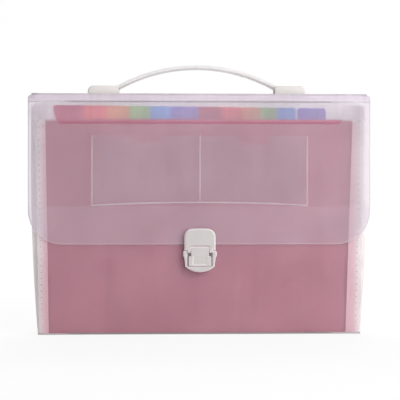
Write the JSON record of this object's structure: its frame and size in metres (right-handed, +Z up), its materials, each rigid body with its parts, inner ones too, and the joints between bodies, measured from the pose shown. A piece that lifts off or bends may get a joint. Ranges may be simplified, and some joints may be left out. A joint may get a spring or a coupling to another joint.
{
  "type": "expanding file case",
  "caption": "Translucent expanding file case for A4 sheets: pleated pockets with coloured tabbed dividers, a flap with a clasp, and a carrying handle.",
  "frame": {"origin": "middle of the footprint, on the surface that the case stands on", "axes": "+X to the right along the width, -Y towards the flap and clasp, +Z up through the handle"},
  "size_m": [0.336, 0.0428, 0.2662],
  "materials": {
    "frosted_cover": "frosted translucent polypropylene sheet, fine matt grain",
    "frosted_gusset": "thin frosted translucent polypropylene film",
    "clear_film": "thin clear polypropylene film with welded seams",
    "white_moulding": "white moulded plastic, satin",
    "pin_steel": "plain steel wire",
    "divider_magenta": "thin coloured polypropylene sheet, fine matt grain",
    "divider_coral": "thin coloured polypropylene sheet, fine matt grain",
    "divider_orange": "thin coloured polypropylene sheet, fine matt grain",
    "divider_green": "thin coloured polypropylene sheet, fine matt grain",
    "divider_blue": "thin coloured polypropylene sheet, fine matt grain",
    "divider_purple": "thin coloured polypropylene sheet, fine matt grain"
  },
  "bodies": {
    "back_and_base": {"back_panel": "frosted_cover", "base_panel": "frosted_cover", "gusset_pleat_13": "frosted_gusset"},
    "divider_body_12": {"divider_12": "divider_purple", "gusset_pleat_12": "frosted_gusset"},
    "divider_body_11": {"divider_11": "divider_blue", "gusset_pleat_11": "frosted_gusset"},
    "divider_body_10": {"divider_10": "divider_green", "gusset_pleat_10": "frosted_gusset"},
    "divider_body_09": {"divider_09": "divider_orange", "gusset_pleat_09": "frosted_gusset"},
    "divider_body_08": {"divider_08": "divider_coral", "gusset_pleat_08": "frosted_gusset"},
    "divider_body_07": {"divider_07": "divider_magenta", "gusset_pleat_07": "frosted_gusset"},
    "divider_body_06": {"divider_06": "divider_purple", "gusset_pleat_06": "frosted_gusset"},
    "divider_body_05": {"divider_05": "divider_blue", "gusset_pleat_05": "frosted_gusset"},
    "divider_body_04": {"divider_04": "divider_green", "gusset_pleat_04": "frosted_gusset"},
    "divider_body_03": {"divider_03": "divider_orange", "gusset_pleat_03": "frosted_gusset"},
    "divider_body_02": {"divider_02": "divider_coral", "gusset_pleat_02": "frosted_gusset"},
    "divider_body_01": {"divider_01": "divider_magenta", "gusset_pleat_01": "frosted_gusset"},
    "front_body": {"front_panel": "frosted_cover", "clasp_catch": "white_moulding", "clasp_catch_backing": "white_moulding"},
    "top_body": {"top_panel": "frosted_cover", "rear_top_fold": "frosted_cover", "handle_strap": "white_moulding", "handle_foot_left": "white_moulding", "handle_foot_right": "white_moulding", "handle_backing_left": "white_moulding", "handle_backing_right": "white_moulding"},
    "flap_body": {"front_flap": "frosted_cover", "front_top_fold": "frosted_cover", "flap_card_pocket": "clear_film", "clasp_flap_plate": "white_moulding", "clasp_flap_backing": "white_moulding", "clasp_hinge_pin": "pin_steel"},
    "tongue_body": {"clasp_tongue": "white_moulding"}
  },
  "joints": [
    {"name": "lid_hinge", "type": "hinge", "parent": "back_and_base", "child": "top_body", "pos_m": [0, 0.02145, 0.237], "axis": [-1, 0, 0], "range_deg": [0, 180], "deforming": ["rear_top_fold"]},
    {"name": "flap_hinge", "type": "hinge", "parent": "top_body", "child": "flap_body", "pos_m": [0, -0.02105, 0.237], "axis": [-1, 0, 0], "range_deg": [0, 180], "deforming": ["front_top_fold"]},
    {"name": "clasp_tongue_hinge", "type": "hinge", "parent": "flap_body", "child": "tongue_body", "pos_m": [0, -0.01905, 0.0849], "axis": [-1, 0, 0], "range_deg": [0, 95]},
    {"name": "pocket_13_hinge", "type": "hinge", "parent": "back_and_base", "child": "divider_body_12", "pos_m": [0, -0.01415, 0.0009], "axis": [1, 0, 0], "range_deg": [0, 2], "deforming": ["gusset_pleat_13"]},
    {"name": "pocket_12_hinge", "type": "hinge", "parent": "divider_body_12", "child": "divider_body_11", "pos_m": [0, -0.01415, 0.0009], "axis": [1, 0, 0], "range_deg": [0, 2], "deforming": ["gusset_pleat_12"]},
    {"name": "pocket_11_hinge", "type": "hinge", "parent": "divider_body_11", "child": "divider_body_10", "pos_m": [0, -0.01415, 0.0009], "axis": [1, 0, 0], "range_deg": [0, 2], "deforming": ["gusset_pleat_11"]},
    {"name": "pocket_10_hinge", "type": "hinge", "parent": "divider_body_10", "child": "divider_body_09", "pos_m": [0, -0.01415, 0.0009], "axis": [1, 0, 0], "range_deg": [0, 2], "deforming": ["gusset_pleat_10"]},
    {"name": "pocket_09_hinge", "type": "hinge", "parent": "divider_body_09", "child": "divider_body_08", "pos_m": [0, -0.01415, 0.0009], "axis": [1, 0, 0], "range_deg": [0, 2], "deforming": ["gusset_pleat_09"]},
    {"name": "pocket_08_hinge", "type": "hinge", "parent": "divider_body_08", "child": "divider_body_07", "pos_m": [0, -0.01415, 0.0009], "axis": [1, 0, 0], "range_deg": [0, 2], "deforming": ["gusset_pleat_08"]},
    {"name": "pocket_07_hinge", "type": "hinge", "parent": "divider_body_07", "child": "divider_body_06", "pos_m": [0, -0.01415, 0.0009], "axis": [1, 0, 0], "range_deg": [0, 2], "deforming": ["gusset_pleat_07"]},
    {"name": "pocket_06_hinge", "type": "hinge", "parent": "divider_body_06", "child": "divider_body_05", "pos_m": [0, -0.01415, 0.0009], "axis": [1, 0, 0], "range_deg": [0, 2], "deforming": ["gusset_pleat_06"]},
    {"name": "pocket_05_hinge", "type": "hinge", "parent": "divider_body_05", "child": "divider_body_04", "pos_m": [0, -0.01415, 0.0009], "axis": [1, 0, 0], "range_deg": [0, 2], "deforming": ["gusset_pleat_05"]},
    {"name": "pocket_04_hinge", "type": "hinge", "parent": "divider_body_04", "child": "divider_body_03", "pos_m": [0, -0.01415, 0.0009], "axis": [1, 0, 0], "range_deg": [0, 2], "deforming": ["gusset_pleat_04"]},
    {"name": "pocket_03_hinge", "type": "hinge", "parent": "divider_body_03", "child": "divider_body_02", "pos_m": [0, -0.01415, 0.0009], "axis": [1, 0, 0], "range_deg": [0, 2], "deforming": ["gusset_pleat_03"]},
    {"name": "pocket_02_hinge", "type": "hinge", "parent": "divider_body_02", "child": "divider_body_01", "pos_m": [0, -0.01415, 0.0009], "axis": [1, 0, 0], "range_deg": [0, 2], "deforming": ["gusset_pleat_02"]},
    {"name": "pocket_01_hinge", "type": "hinge", "parent": "divider_body_01", "child": "front_body", "pos_m": [0, -0.01415, 0.0009], "axis": [1, 0, 0], "range_deg": [0, 2], "deforming": ["gusset_pleat_01"]}
  ],
  "couplings": [
    {"joint": "pocket_13_hinge", "follows": "lid_hinge", "ratio": 0.011111},
    {"joint": "pocket_12_hinge", "follows": "lid_hinge", "ratio": 0.011111},
    {"joint": "pocket_11_hinge", "follows": "lid_hinge", "ratio": 0.011111},
    {"joint": "pocket_10_hinge", "follows": "lid_hinge", "ratio": 0.011111},
    {"joint": "pocket_09_hinge", "follows": "lid_hinge", "ratio": 0.011111},
    {"joint": "pocket_08_hinge", "follows": "lid_hinge", "ratio": 0.011111},
    {"joint": "pocket_07_hinge", "follows": "lid_hinge", "ratio": 0.011111},
    {"joint": "pocket_06_hinge", "follows": "lid_hinge", "ratio": 0.011111},
    {"joint": "pocket_05_hinge", "follows": "lid_hinge", "ratio": 0.011111},
    {"joint": "pocket_04_hinge", "follows": "lid_hinge", "ratio": 0.011111},
    {"joint": "pocket_03_hinge", "follows": "lid_hinge", "ratio": 0.011111},
    {"joint": "pocket_02_hinge", "follows": "lid_hinge", "ratio": 0.011111},
    {"joint": "pocket_01_hinge", "follows": "lid_hinge", "ratio": 0.011111}
  ]
}
